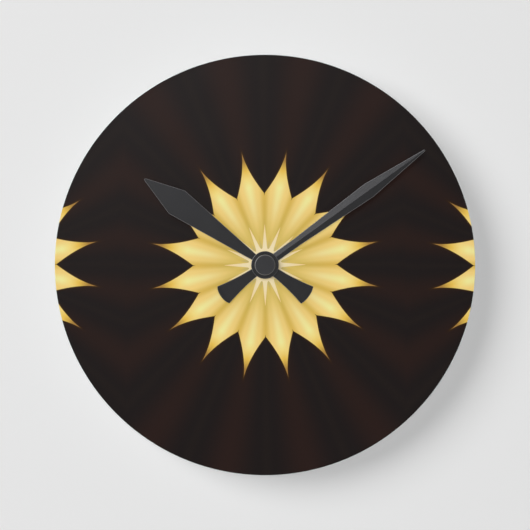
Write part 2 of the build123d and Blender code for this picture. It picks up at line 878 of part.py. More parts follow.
def centre_plate():
    """Plate between the gear train and the motion work, with its bearings and the motion wheel's stud."""
    half = inner_half_width - plate_edge_gap
    front = plate_layer + plate_thickness
    bottom = -(space_below - latch_gap)
    top = space_above - latch_gap
    plate = rounded_plate(-half, half, bottom, top, plate_corner_radius, plate_layer, front)
    plate -= disc(minute_pipe_rear_radius + pivot_clearance, plate_layer, front)
    plate -= disc(setting_bearing, plate_layer, front, setting_axis)
    for place in (third_axis, intermediate_axis, rotor_axis):
        plate -= disc(pivot_hole_radius, plate_layer, front, place)
    for place in pillar_places:
        plate -= disc(plate_screw_radius + screw_clearance, plate_layer, front, place)
    stud_top = hour_layer + wheel_thickness + motion_stud_end
    return plate + disc(motion_stud_radius, front, stud_top, motion_axis)


def plate_screws():
    head_rear = plate_layer - plate_screw_head_height
    tip = plate_layer + plate_thickness + plate_screw_depth - screw_end_gap
    screws = []
    for place in pillar_places:
        screw = disc(plate_screw_radius, plate_layer, tip, place)
        screw += disc(plate_screw_head_radius, head_rear, plate_layer, place)
        slot = Box(plate_slot_length, plate_slot_width, 2 * plate_slot_depth)
        for turn in (0, 90):
            screw -= Pos(place[0], place[1], head_rear) * Rot(0, 0, turn) * slot
        screws.append(screw)
    return Compound(children=screws)


# ---- hand-setting knob ----
def setting_arbor():
    tip = motion_layer + wheel_thickness + setting_arbor_end
    collar_rear = well_floor_front + setting_collar_gap
    steel = disc(setting_arbor_radius, knob_recess + knob_floor_gap, tip, setting_axis)
    steel += disc(
        setting_collar_radius, collar_rear, collar_rear + setting_collar_thickness, setting_axis
    )
    return steel + pinion(setting_teeth, motion_module, motion_layer, setting_axis, setting_phase)


def setting_knob():
    """Serrated knob, sunk in its well, with a raised grip bar across a shallow dish."""
    rear = knob_recess
    front = knob_recess + knob_thickness
    knob = disc(knob_radius, rear, front, setting_axis)
    knob -= ring(knob_radius - knob_rim, knob_boss_radius, rear, rear + knob_thickness / 2, setting_axis)
    x, y = setting_axis
    reach = knob_radius - knob_bar_inset
    half = knob_bar_width / 2
    knob += slab((x - reach, x + reach), (y - half, y + half), (rear, front))
    for number in range(knob_grooves):
        place = step_from(setting_axis, knob_radius, 360 * number / knob_grooves)
        knob -= disc(knob_groove_radius, rear, front, place)
    return knob - disc(setting_arbor_radius + press_clearance, rear + knob_floor_gap, front, setting_axis)


# ---- circuit and contacts ----
board_half_width = inner_half_width - board_side_gap
board_top = space_above - board_top_gap
board_bottom = board_top - board_height
board_rear = plate_layer - board_thickness
board_middle = (board_top + board_bottom) / 2
chip_place = (chip_place_share * board_half_width, board_middle)


def circuit_board():
    return slab(
        (-board_half_width, board_half_width), (board_bottom, board_top), (board_rear, plate_layer)
    )


def controller_chip():
    blob = disc(chip_radius, board_rear - chip_height, board_rear, chip_place)
    rim = blob.edges().filter_by(GeomType.CIRCLE).sort_by(Axis.Z)[0]
    return fillet(rim, chip_round_share * chip_height)


def quartz_crystal():
    """Metal can lying on the board, with two leads that bend down to it."""
    left = crystal_place_share * board_half_width
    right = left + crystal_length
    depth = board_rear - crystal_radius
    can = Pos(left, board_middle, depth) * Rot(0, 90, 0) * Cylinder(
        crystal_radius, crystal_length, align=(Align.CENTER, Align.CENTER, Align.MIN)
    )
    rim = can.edges().filter_by(GeomType.CIRCLE).sort_by(Axis.X)[0]
    can = fillet(rim, crystal_round_share * crystal_radius)
    half = crystal_lead_width / 2
    end = right + crystal_lead_length
    for side in (-1, 1):
        height = board_middle + side * crystal_radius / 2
        lead = (height - half, height + half)
        can += slab((right, end), lead, (depth - half, depth + half))
        can += slab((end - crystal_lead_width, end), lead, (depth, board_rear))
    return can


def contact_strip(side):
    """Sheet contact: a plate at the cell's end, a strip along the case wall and a finger on the board."""
    outer = side * (inner_half_width - contact_wall_gap)
    inner = side * (inner_half_width - contact_wall_gap - contact_thickness)
    low_edge = cell_axis_height - contact_height / 2
    high_edge = cell_axis_height + contact_height / 2
    plate_depth = (cell_axis_depth - contact_width / 2, cell_axis_depth + contact_width / 2)
    finger_low = board_bottom + contact_finger_inset
    finger = (finger_low, finger_low + contact_strip_width)
    strip = slab((outer, inner), (low_edge, high_edge), plate_depth)
    strip += slab((outer, inner), (low_edge, finger[1]), (strip_low, strip_high))
    finger_end = outer - side * contact_finger_length
    return strip + slab((outer, finger_end), finger, (board_rear - contact_thickness, board_rear))


def positive_contact():
    face = inner_half_width - contact_wall_gap - contact_thickness
    tip = inner_half_width - cell_positive_gap + contact_wall_gap
    dimple = Pos(tip, cell_axis_height, cell_axis_depth) * Rot(0, 90, 0) * Cylinder(
        contact_dimple_radius, face - tip, align=(Align.CENTER, Align.CENTER, Align.MIN)
    )
    return contact_strip(1) + dimple


def negative_contact():
    """The other contact, with a bowed leaf that presses on the cell's flat end."""
    face = -(inner_half_width - contact_wall_gap - contact_thickness)
    tip = -inner_half_width + cell_negative_gap - contact_wall_gap
    bow = tip - face
    half_chord = contact_height / 2 - leaf_end_inset
    radius = (half_chord**2 + bow**2) / (2 * bow)
    depth = (cell_axis_depth - leaf_width / 2, cell_axis_depth + leaf_width / 2)
    place = (tip - radius, cell_axis_height)
    leaf = ring(radius, radius - contact_thickness, depth[0], depth[1], place)
    keep = (cell_axis_height - contact_height / 2, cell_axis_height + contact_height / 2)
    return contact_strip(-1) + (leaf & slab((face, tip), keep, depth))


# ---- cell ----
cell_left = -inner_half_width + cell_negative_gap


def along_cell(radius, left, right):
    """A cylinder along X on the cell's axis."""
    turn = Pos(left, cell_axis_height, cell_axis_depth) * Rot(0, 90, 0)
    return turn * Cylinder(radius, right - left, align=(Align.CENTER, Align.CENTER, Align.MIN))


def battery_cell():
    shoulder = cell_left + cell_length - cell_button_height
    can = along_cell(cell_diameter / 2 - cell_sleeve_thickness, cell_left, shoulder)
    can = fillet(can.edges().filter_by(GeomType.CIRCLE), cell_edge_radius)
    button = along_cell(cell_button_radius, shoulder, cell_left + cell_length)
    rim = button.edges().filter_by(GeomType.CIRCLE).sort_by(Axis.X)[-1]
    return can + fillet(rim, cell_edge_radius)


def battery_sleeve():
    left = cell_left + cell_sleeve_margin
    right = cell_left + cell_length - cell_button_height - cell_sleeve_margin
    outside = along_cell(cell_diameter / 2, left, right)
    return outside - along_cell(cell_diameter / 2 - cell_sleeve_thickness, left, right)


pieces = [
    dial_panel,
    dial_print,
    rubber_washer,
    front_washer,
    dial_nut,
    threaded_bush,
    minute_hand,
    hub_cap,
    hour_hand,
    hour_hand_collet,
    minute_pipe,
    centre_wheel,
    clutch_spring,
    hour_wheel,
    motion_wheel,
    third_wheel,
    third_pinion,
    seconds_wheel,
    seconds_arbor,
    intermediate_wheel,
    intermediate_pinion,
    rotor_magnet,
    rotor_pinion,
    stator,
    coil_core,
    core_screws,
    coil_bobbin,
    coil_winding,
    front_case,
    rear_cover,
    centre_plate,
    plate_screws,
    setting_arbor,
    setting_knob,
    circuit_board,
    controller_chip,
    quartz_crystal,
    positive_contact,
    negative_contact,
    battery_cell,
    battery_sleeve,
]

os.makedirs("parts", exist_ok=True)
for piece in pieces:
    export_step(on_the_wall(piece()), f"parts/{piece.__name__}.step")
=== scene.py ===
import bmesh
import bpy
import json
import numpy as np
from math import pi, radians
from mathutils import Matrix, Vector

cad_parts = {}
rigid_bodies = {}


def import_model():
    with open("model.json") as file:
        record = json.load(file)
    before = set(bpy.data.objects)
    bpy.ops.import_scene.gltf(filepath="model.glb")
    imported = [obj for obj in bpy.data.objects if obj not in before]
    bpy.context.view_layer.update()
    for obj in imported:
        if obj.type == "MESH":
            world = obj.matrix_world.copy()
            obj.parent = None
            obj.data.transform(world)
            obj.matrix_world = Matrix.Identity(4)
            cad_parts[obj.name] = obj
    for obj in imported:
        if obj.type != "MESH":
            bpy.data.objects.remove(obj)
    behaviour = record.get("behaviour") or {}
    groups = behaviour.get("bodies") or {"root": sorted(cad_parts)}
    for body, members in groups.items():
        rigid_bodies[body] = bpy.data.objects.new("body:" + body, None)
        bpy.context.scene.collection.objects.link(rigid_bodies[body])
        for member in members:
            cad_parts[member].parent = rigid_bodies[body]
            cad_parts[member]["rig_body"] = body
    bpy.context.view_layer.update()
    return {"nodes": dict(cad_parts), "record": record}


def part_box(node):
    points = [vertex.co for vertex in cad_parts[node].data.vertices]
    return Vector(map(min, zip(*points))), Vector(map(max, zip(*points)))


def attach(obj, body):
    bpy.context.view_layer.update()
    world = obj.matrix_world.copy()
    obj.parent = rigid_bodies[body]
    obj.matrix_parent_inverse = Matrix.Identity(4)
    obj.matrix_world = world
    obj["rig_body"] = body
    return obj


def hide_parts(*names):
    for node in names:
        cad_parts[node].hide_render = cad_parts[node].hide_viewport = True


# Sunburst wall clock: its printed dial, lacquered hands and battery movement, hung on a pale wall.
# Metres, in the frame of the CAD: X to the right, Z up, the dial faces -Y, the hands turn about Y.
# Materials are drawn in millimetres, from each piece's own Object coordinates.

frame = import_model()

MM = 0.001
TURN = 2 * pi


# ---- numbers read from the frame ----
def reach(node, axis, end):
    """A node's lowest (end 0) or highest (end 1) place along an axis, in metres."""
    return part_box(node)[end][axis]


def radius_of(node):
    return (reach(node, 0, 1) - reach(node, 0, 0)) / 2


def middle_of(node):
    low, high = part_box(node)
    return [(low[axis] + high[axis]) / 2 for axis in range(3)]


dial_radius = radius_of("dial_panel")
print_radius = radius_of("dial_print")
print_front = reach("dial_print", 1, 0)
print_back = reach("dial_print", 1, 1)


# ---- recipes: a material is written as sums on wires ----
class Wire:
    """One socket of a recipe. Sums, products and powers of wires add Math nodes to the recipe."""

    def __init__(self, recipe, socket):
        self.recipe = recipe
        self.socket = socket

    def math(self, operation, *values):
        return self.recipe.add("Math", {"operation": operation}, values)

    def __add__(self, other):
        return self.math("ADD", self, other)

    __radd__ = __add__

    def __sub__(self, other):
        return self.math("SUBTRACT", self, other)

    def __rsub__(self, other):
        return self.math("SUBTRACT", other, self)

    def __mul__(self, other):
        return self.math("MULTIPLY", self, other)

    __rmul__ = __mul__

    def __truediv__(self, other):
        return self.math("DIVIDE", self, other)

    def __pow__(self, power):
        return self.math("POWER", self, power)

    def most(self, other):
        return self.math("MAXIMUM", self, other)

    def least(self, other):
        return self.math("MINIMUM", self, other)

    def sine(self):
        return self.math("SINE", self)

    def size(self):
        return self.math("ABSOLUTE", self)

    def rising(self, start, end):
        """0 below start, 1 above end, and smooth between them. With start above end it falls."""
        inputs = {"Value": self, "From Min": start, "From Max": end}
        return self.recipe.add("MapRange", {"interpolation_type": "SMOOTHSTEP"}, inputs)

    def band(self, middle, half_width, soft):
        """1 within half_width of middle, 0 further than soft beyond it."""
        return (self - middle).size().rising(half_width + soft, half_width)

    def wrapped(self, low, high):
        return self.math("WRAP", self, high, low)

    def folded(self, width):
        """Goes up and down between 0 and width."""
        return self.math("PINGPONG", self, width)


class Recipe:
    """A material under way: add() puts in any node, and surface() sets the shader."""

    def __init__(self, name):
        self.material = bpy.data.materials.new(name)
        self.material.use_nodes = True
        self.tree = self.material.node_tree
        self.shader = self.tree.nodes["Principled BSDF"]
        here = self.add("TexCoord", {}, [], "Object")
        self.place = self.add("VectorMath", {"operation": "SCALE"}, {0: here, "Scale": 1 / MM})

    def add(self, kind, settings, inputs, out=0):
        """One node: its kind, its settings (stops are a ramp's), its inputs by name or number, its output."""
        node = self.tree.nodes.new("ShaderNode" + kind)
        for name, value in settings.items():
            if name == "stops":
                self.set_stops(node.color_ramp, value)
            else:
                setattr(node, name, value)
        pairs = inputs.items() if isinstance(inputs, dict) else enumerate(inputs)
        for key, value in pairs:
            self.join(value, node.inputs[key])
        return Wire(self, node.outputs[out])

    def join(self, value, socket):
        if isinstance(value, Wire):
            self.tree.links.new(value.socket, socket)
        else:
            socket.default_value = value

    def set_stops(self, ramp, stops):
        while len(ramp.elements) < len(stops):
            ramp.elements.new(1.0)
        for element, (place, colour) in zip(ramp.elements, sorted(stops)):
            element.position = place
            element.color = colour

    def axes(self):
        """X, Y and Z of the place, in millimetres."""
        return [self.add("SeparateXYZ", {}, [self.place], axis) for axis in "XYZ"]

    def noise(self, size, detail=2.0, stretch=(1, 1, 1), at=None):
        """Cloudy noise from 0 to 1, its features of that size in millimetres, longer on a stretched axis."""
        scale = tuple(1 / (size * length) for length in stretch)
        where = self.add("VectorMath", {"operation": "MULTIPLY"}, [at or self.place, scale])
        return self.add("TexNoise", {}, {"Vector": where, "Scale": 1.0, "Detail": detail})

    def cells(self, size):
        """Distance to the nearest of scattered points that lie about size millimetres apart."""
        return self.add("TexVoronoi", {}, {"Vector": self.place, "Scale": 1 / size}, "Distance")

    def polar(self, x, z, lead=0.0):
        """Angle in radians, clockwise from twelve, and radius, of a place in the dial's plane."""
        return self.add("Math", {"operation": "ARCTAN2"}, [x, z]) + lead, (x * x + z * z) ** 0.5

    def vector(self, x, y, z):
        return self.add("CombineXYZ", {}, [x, y, z])

    def mix(self, share, first, second):
        return self.add("Mix", {"data_type": "RGBA"}, {0: share, 6: first, 7: second}, 2)

    def ramp(self, value, stops):
        return self.add("ValToRGB", {"stops": stops}, [value])

    def bump(self, height, depth):
        """Relief that follows height, from 0 to 1 over a depth in millimetres."""
        inputs = {"Height": height, "Distance": depth * MM, "Strength": 1.0}
        return self.add("Bump", {}, inputs)

    def surface(self, **sockets):
        for name, value in sockets.items():
            self.join(value, self.shader.inputs[name.replace("_", " ")])
        return self.material


def tint(red, green, blue):
    """A colour as a screen shows it, from 0 to 255, turned into the light it stands for."""
    shares = [level / 255 for level in (red, green, blue)]
    light = [s / 12.92 if s < 0.04045 else ((s + 0.055) / 1.055) ** 2.4 for s in shares]
    return (*light, 1.0)


def darker(colour, share):
    return (*[share * part for part in colour[:3]], 1.0)


# ---- the dial's print ----
petals = 16
petal_step = TURN / petals
star_turn = radians(0.5)
star_spacing = 135.0
petal_root = 34.7
petal_tip = 59.0
petal_half_width = 6.77
petal_taper = 2.0
star_reach = 60.0
cream_hollow = 7.9
cream_ray = 11.85
cream_sharpness = 2.7
cream_fade = (9.0, 18.0)
olive_reach = 1.6
olive_share = 0.35
ground_fade = (58.0, 98.0)
crease_from = 0.78
fringe_reach = 1.4
fringe_fade = (54.0, 60.5)
fringe_share = 0.8
petal_inset = 0.04
edge_soft = 0.16

# Each ramp runs out from the star's middle: a distance in millimetres, and the ink there.
spine_colours = [
    (9.0, (190, 176, 118)),
    (12.0, (212, 184, 96)),
    (20.0, (232, 202, 122)),
    (28.0, (238, 219, 149)),
    (38.0, (240, 232, 156)),
    (42.0, (242, 217, 130)),
    (46.0, (230, 190, 84)),
    (51.0, (164, 124, 64)),
    (55.0, (166, 125, 72)),
    (58.0, (100, 76, 54)),
]
side_colours = [(16.0, (217, 190, 104)), (24.0, (231, 201, 120)), (35.0, (240, 208, 127))]
crease_colours = [(17.0, (204, 176, 88)), (33.0, (217, 181, 89))]
coat_glow = 0.0096


def ink(red, green, blue):
    """A printed colour, less the light that the coat over it adds."""
    seen = tint(red, green, blue)
    return (*[max(part - coat_glow, 0.0) for part in seen[:3]], 1.0)


cream = ink(238, 222, 180)
cream_tip = ink(240, 214, 158)
olive = ink(207, 181, 99)
fringe = ink(52, 37, 20)
ground_dark = ink(31, 28, 28)
ground_inner = ink(40, 31, 29)
ground_outer = ink(42, 32, 30)
ground_crease = ink(34, 30, 29)


def stops_along(colours, whole):
    return [(distance / whole, ink(*colour)) for distance, colour in colours]


def printed_dial():
    """Star of sixteen folded petals on a dark ground, repeated to each side, under a satin coat."""
    recipe = Recipe("printed_dial")
    x, _, z = recipe.axes()
    across = x.wrapped(-star_spacing / 2, star_spacing / 2)
    angle, radius = recipe.polar(across, z, star_turn)
    from_crease = angle.folded(petal_step / 2)
    from_spine = petal_step / 2 - from_crease
    share = from_spine / (petal_step / 2)

    along = radius / star_reach
    spine = recipe.ramp(along, stops_along(spine_colours, star_reach))
    side = recipe.ramp(along, stops_along(side_colours, star_reach))
    crease = recipe.ramp(along, stops_along(crease_colours, star_reach))
    fold = 0.5 + 0.5 * (share * pi + pi / 2).sine()
    gold = recipe.mix(share.rising(1.0, 0.5), crease, side)
    gold = recipe.mix(share.rising(0.5, 0.0), gold, spine)

    outwards = ((radius - petal_root) / (petal_tip - petal_root)).most(0.0).least(1.0)
    width = petal_half_width * (1.0 - outwards) ** petal_taper
    inside = width - radius * from_spine.sine()
    petal = inside.rising(petal_inset, petal_inset + 2 * edge_soft)

    hollow = cream_hollow + cream_ray * share ** cream_sharpness
    beyond = radius - hollow
    gold = recipe.mix(beyond.rising(olive_reach, 0.0) * olive_share, gold, olive)
    heart = recipe.mix(radius.rising(*cream_fade), cream, cream_tip)
    star = recipe.mix(beyond.rising(edge_soft, -edge_soft), gold, heart)

    warm = recipe.mix(radius.rising(*ground_fade), ground_inner, ground_outer)
    ground = recipe.mix(share.rising(crease_from, 1.0), ground_dark, ground_crease)
    ground = recipe.mix(fold ** 1.5, ground, warm)
    near = inside.rising(-fringe_reach, 0.0) * (1.0 - radius.rising(*fringe_fade))
    ground = recipe.mix(near * near * fringe_share, ground, fringe)
    colour = recipe.mix(petal, ground, star)

    specks = recipe.noise(0.12, 1.0)
    colour = recipe.mix((specks - 0.5).size() * 0.06, colour, tint(70, 62, 54))
    coat = recipe.noise(0.9, 3.0)
    haze = recipe.noise(14.0, 2.0)
    rough = 0.36 + 0.08 * haze + 0.05 * specks
    relief = recipe.bump(coat * 0.7 + specks * 0.3, 0.004)
    recipe.surface(Specular_IOR_Level=0.12)
    return recipe.surface(Base_Color=colour, Roughness=rough, Normal=relief)


# ---- finishes ----
ring_pitch = 0.35
wire_pitch = 0.09
track_pitch = 0.7
lands_from = 20.6
silver_from = 0.74
gold_lines = (0.725, 0.03)
rim_from = 0.955

def satin_lacquer(name, colour, turned=False):
    """Black lacquer sprayed on metal: orange peel and a few specks of dust, with a painted highlight: edges,
    bevels and sides are painted lighter, as if light catches on them.
    """
    recipe = Recipe(name)
    x, _, z = recipe.axes()
    peel = recipe.noise(0.45, 2.0)
    cloud = recipe.noise(6.0, 3.0)
    dust = recipe.cells(1.3).rising(0.10, 0.03)
    base = recipe.mix(cloud, darker(colour, 0.8), colour)
    base = recipe.mix(dust * 0.25, base, tint(96, 96, 98))
    # Painted highlight: faces that do not face along Y (bevels, chamfers and sides) are painted lighter grey,
    # standing in for light caught on the edges.
    facing = recipe.add("TexCoord", {}, [], "Normal")
    edge = recipe.add("SeparateXYZ", {}, [facing], "Y").size().rising(0.97, 0.85)
    base = recipe.mix(edge * 0.85, base, tint(136, 136, 138))
    height = peel * 0.8 + dust * 0.2
    if turned:
        _, radius = recipe.polar(x, z)
        height = height + 0.35 * (radius * (TURN / ring_pitch)).sine()
    rough = 0.29 + 0.06 * cloud + 0.10 * dust
    recipe.surface(Metallic=0.55, Specular_IOR_Level=0.4)
    return recipe.surface(Base_Color=base, Roughness=rough, Normal=recipe.bump(height, 0.006))


def bare_metal(name, light, dark, grain, rough=0.28, turned_about=None):
    """Bare metal with tool marks: rings about a turning axis, or fine lines along a stretched grain."""
    recipe = Recipe(name)
    x, y, z = recipe.axes()
    cloud = recipe.noise(2.2, 4.0)
    if turned_about is None:
        lines = recipe.noise(0.09, 2.0, grain)
    else:
        centre_x, centre_z = turned_about
        angle, radius = recipe.polar(x - centre_x, z - centre_z)
        where = recipe.vector(radius, y, angle * 0.4)
        lines = recipe.noise(0.08, 2.0, (1, 1, 1), where)
    spots = recipe.cells(0.9).rising(0.16, 0.05)
    colour = recipe.mix(cloud * 0.35 + lines * 0.25, light, dark)
    colour = recipe.mix(spots * 0.3, colour, dark)
    roughness = rough + 0.16 * cloud + 0.10 * lines
    relief = recipe.bump(lines * 0.8 + cloud * 0.2, 0.006)
    recipe.surface(Metallic=1.0)
    return recipe.surface(Base_Color=colour, Roughness=roughness, Normal=relief)


def moulded_ground(recipe, colour, grain_size, worn):
    """Colour, grain and the change in roughness of moulded plastic: fine sparked grain, flow clouds and a few
    rubbed scratches along X."""
    pits = recipe.cells(grain_size)
    fine = recipe.noise(grain_size * 0.6, 3.0)
    cloud = recipe.noise(9.0, 3.0)
    scratches = recipe.noise(0.35, 1.0, (30, 3, 1)).rising(0.70, 0.74)
    base = recipe.mix(cloud, darker(colour, 0.82), colour)
    base = recipe.mix(scratches * 0.12, base, worn)
    return base, pits * 0.6 + fine * 0.4, 0.10 * fine - 0.08 * scratches + 0.05 * cloud


def moulded(name, colour, rough=0.5, grain_size=0.28, grain_depth=0.02, worn=(0.5, 0.5, 0.5, 1.0), gloss=0.4):
    recipe = Recipe(name)
    base, grain, uneven = moulded_ground(recipe, colour, grain_size, worn)
    recipe.surface(Specular_IOR_Level=gloss)
    return recipe.surface(Base_Color=base, Roughness=rough + uneven, Normal=recipe.bump(grain, grain_depth))


def marked_case(colour):
    """Case plastic with marks sunk in the rear cover: a turning arrow round the knob, a plus and a minus
    above the two ends of the cell."""
    recipe = Recipe("case_abs")
    x, y, z = recipe.axes()
    knob_x, _, knob_z = [place / MM for place in middle_of("setting_knob")]
    angle, radius = recipe.polar(x - knob_x, z - knob_z)
    arc = radius.band(arrow_radius, line_half, line_soft) * angle.band(0.0, arrow_sweep, 0.02)
    along = (angle - arrow_sweep) * arrow_radius
    head_width = (along * -0.8 + 0.8).most(0.0) * along.rising(-0.3, 0.0)
    head = (head_width - (radius - arrow_radius).size()).rising(0.0, line_soft)
    marks = arc.most(head)
    cell_low, cell_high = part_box("battery_cell")
    height = reach("rear_cover", 2, 0) / MM + sign_rise
    for middle, upright in ((cell_high[0] / MM - sign_inset, 1.0), (cell_low[0] / MM + sign_inset, 0.0)):
        flat = (x - middle).band(0.0, sign_half, line_soft) * (z - height).band(0.0, line_half, line_soft)
        post = (x - middle).band(0.0, line_half, line_soft) * (z - height).band(0.0, sign_half, line_soft)
        marks = marks.most(flat).most(post * upright)
    rear_face = reach("rear_cover", 1, 1) / MM
    marks = marks * y.rising(rear_face - 0.1, rear_face - 0.05)
    base, grain, uneven = moulded_ground(recipe, colour, 0.30, tint(96, 96, 98))
    base = recipe.mix(marks * 0.5, base, tint(84, 84, 86))
    height_above_marks = grain * (1.0 - marks) * 0.15 + (1.0 - marks) * 0.85
    roughness = 0.50 + uneven - 0.18 * marks
    recipe.surface(Specular_IOR_Level=0.4)
    relief = recipe.bump(height_above_marks, 0.2)
    return recipe.surface(Base_Color=base, Roughness=roughness, Normal=relief)


def polished_acrylic():
    """Clear sheet: its sawn and polished edge shows pale with faint rings, its back shows the print's grey
    base coat."""
    recipe = Recipe("polished_acrylic")
    x, y, z = recipe.axes()
    angle, radius = recipe.polar(x, z)
    where = recipe.vector(angle * dial_radius / MM * 0.02, y, radius)
    marks = recipe.noise(0.18, 2.0, (1, 1, 1), where)
    cloud = recipe.noise(12.0, 3.0)
    base = recipe.mix(cloud * 0.5 + marks * 0.3, tint(233, 237, 236), tint(214, 222, 221))
    backed = y.rising(reach("dial_panel", 1, 1) / MM - 0.05, reach("dial_panel", 1, 1) / MM - 0.01)
    base = recipe.mix(backed, base, recipe.mix(cloud, tint(112, 114, 115), tint(126, 128, 128)))
    dust = recipe.cells(2.4).rising(0.07, 0.02)
    base = recipe.mix(dust * 0.4, base, tint(180, 178, 172))
    recipe.surface(Coat_Weight=0.6, Coat_Roughness=0.06)
    relief = recipe.bump(marks, 0.010)
    return recipe.surface(Base_Color=base, Roughness=0.22 + 0.2 * marks, Normal=relief)


def rubber():
    recipe = Recipe("washer_rubber")
    grain = recipe.noise(0.22, 4.0)
    bloom = recipe.noise(2.5, 3.0)
    base = recipe.mix(bloom, tint(34, 34, 35), tint(54, 54, 53))
    recipe.surface(Specular_IOR_Level=0.25)
    return recipe.surface(Base_Color=base, Roughness=0.72 + 0.15 * grain, Normal=recipe.bump(grain, 0.03))


def wound_copper():
    """Fine enamelled wire wound along X: a ridge for each turn, a shade of its own for every few turns."""
    recipe = Recipe("wound_copper")
    x = recipe.axes()[0]
    turns = (x * (TURN / wire_pitch)).sine()
    shade = recipe.noise(0.5, 2.0, (0.4, 6, 6))
    base = recipe.mix(shade, tint(178, 92, 48), tint(226, 140, 88))
    recipe.surface(Metallic=1.0, Coat_Weight=0.5, Coat_Roughness=0.15)
    relief = recipe.bump(0.5 + 0.5 * turns, 0.03)
    return recipe.surface(Base_Color=base, Roughness=0.26 + 0.1 * shade, Normal=relief)


def solder_mask_board():
    """Green solder mask over copper tracks that run along the board, with tinned lands at their ends."""
    recipe = Recipe("solder_mask_board")
    x, _, z = recipe.axes()
    weave = recipe.noise(0.35, 2.0, (3, 1, 1))
    low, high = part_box("circuit_board")
    board_middle_x = (low[0] + high[0]) / 2 / MM
    tracks = z.folded(track_pitch).rising(0.40, 0.46)
    lands = (x - board_middle_x).size().rising(lands_from, lands_from + 0.3) * tracks
    mask = recipe.mix(tracks, tint(22, 84, 46), tint(40, 118, 64))
    base = recipe.mix(weave * 0.3, mask, tint(16, 62, 36))
    base = recipe.mix(lands, base, tint(190, 188, 180))
    relief = recipe.bump(tracks * 0.8 + weave * 0.2, 0.035)
    recipe.surface(Coat_Weight=0.3, Coat_Roughness=0.2)
    return recipe.surface(Base_Color=base, Metallic=lands, Roughness=0.35 + 0.1 * weave, Normal=relief)


def cell_wrap():
    """Shrunk plastic sleeve with plain bands round the cell, thin gold lines between them."""
    recipe = Recipe("cell_wrap")
    x = recipe.axes()[0]
    low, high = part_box("battery_sleeve")
    left, right = low[0] / MM, high[0] / MM
    length = right - left
    along = (x - left) / length
    fine = recipe.noise(0.25, 3.0)
    wrinkle = recipe.noise(1.6, 3.0, (1, 4, 4))
    green = recipe.mix(wrinkle, tint(38, 76, 62), tint(50, 92, 76))
    silver = tint(176, 180, 178)
    silvered = along.rising(silver_from, silver_from + 0.004)
    colour = recipe.mix(silvered, green, silver)
    upper_line, lower_line = [along.band(place, 0.006, 0.002) for place in gold_lines]
    line = upper_line.most(lower_line)
    colour = recipe.mix(line, colour, tint(205, 176, 110))
    rim = along.rising(rim_from, rim_from + 0.005)
    colour = recipe.mix(rim, colour, tint(44, 48, 47))
    metal = silvered * 0.7 * (1.0 - rim)
    recipe.surface(Coat_Weight=0.8, Coat_Roughness=0.12)
    relief = recipe.bump(wrinkle * 0.7 + fine * 0.3, 0.02)
    return recipe.surface(Base_Color=colour, Metallic=metal, Roughness=0.3 + 0.12 * fine, Normal=relief)


def annealed_sheet(name, light, dark):
    """Soft iron or nickel-plated sheet: blotches of heat tint and faint rolling lines along X."""
    recipe = Recipe(name)
    blotch = recipe.noise(3.0, 4.0)
    lines = recipe.noise(0.12, 2.0, (25, 1, 1))
    colour = recipe.mix(blotch * 0.7 + lines * 0.2, light, dark)
    relief = recipe.bump(lines, 0.006)
    recipe.surface(Metallic=1.0)
    return recipe.surface(Base_Color=colour, Roughness=0.28 + 0.2 * blotch, Normal=relief)


arrow_radius = 8.6
arrow_sweep = 2.2
line_half = 0.22
line_soft = 0.08
sign_rise = 3.2
sign_inset = 5.0
sign_half = 1.5

finishes = {
    "clear_acrylic": polished_acrylic(),
    "dial_print": printed_dial(),
    "black_rubber": rubber(),
    "brass": bare_metal("turned_brass", tint(228, 200, 130), tint(168, 132, 70), None, 0.24, (0, 0)),
    "hand_black": satin_lacquer("hand_lacquer", tint(34, 34, 36)),
    "cap_black": satin_lacquer("cap_lacquer", tint(47, 47, 49), turned=True),
    "spring_bronze": bare_metal("spring_bronze", tint(206, 158, 104), tint(140, 96, 58), (20, 1, 1)),
    "white_nylon": moulded("white_acetal", tint(236, 234, 225), 0.42, 0.5, 0.006, gloss=0.5),
    "steel": bare_metal("turned_steel", tint(208, 208, 210), tint(150, 150, 152), None, 0.2, (0, 0)),
    "magnet": moulded("sintered_magnet", tint(92, 92, 95), 0.45, 0.15, 0.02, gloss=0.6),
    "lamination_steel": annealed_sheet("annealed_iron", tint(176, 176, 178), tint(120, 120, 126)),
    "bobbin_plastic": moulded("bobbin_nylon", tint(226, 222, 204), 0.45, 0.4, 0.01),
    "copper_wire": wound_copper(),
    "case_black": marked_case(tint(44, 44, 46)),
    "plate_grey": moulded("plate_acetal", tint(172, 174, 176), 0.45, 0.4, 0.012),
    "knob_plastic": moulded("knob_acetal", tint(220, 218, 211), 0.42, 0.35, 0.012, tint(160, 158, 150)),
    "board_green": solder_mask_board(),
    "chip_epoxy": moulded("cast_epoxy", tint(30, 30, 30), 0.24, 0.9, 0.01, gloss=0.6),
    "contact_steel": annealed_sheet("nickel_plate", tint(214, 212, 206), tint(170, 166, 156)),
    "cell_sleeve": cell_wrap(),
}

for part in frame["record"]["subparts"]:
    mesh = frame["nodes"][part["node"]].data
    mesh.materials.clear()
    mesh.materials.append(finishes[part["material_slot"]])


# ---- surfaces worked out on grids ----
def ring_surface(name, points):
    """Quads between neighbours of a grid of points, whose rows and columns both close on themselves."""
    rows, columns = points.shape[:2]
    row, column = np.arange(rows)[:, None], np.arange(columns)[None, :]
    row_after, column_after = (row + 1) % rows, (column + 1) % columns
    corners = [row * columns + column, row * columns + column_after]
    corners += [row_after * columns + column_after, row_after * columns + column]
    faces = np.stack(corners, axis=-1).reshape(-1, 4)
    mesh = bpy.data.meshes.new(name)
    mesh.vertices.add(rows * columns)
    mesh.vertices.foreach_set("co", points.astype(np.float32).ravel())
    mesh.loops.add(faces.size)
    mesh.loops.foreach_set("vertex_index", faces.astype(np.int32).ravel())
    mesh.polygons.add(len(faces))
    mesh.polygons.foreach_set("loop_start", np.arange(0, faces.size, 4, dtype=np.int32))
    mesh.update(calc_edges=True)
    mesh.validate()
    return mesh


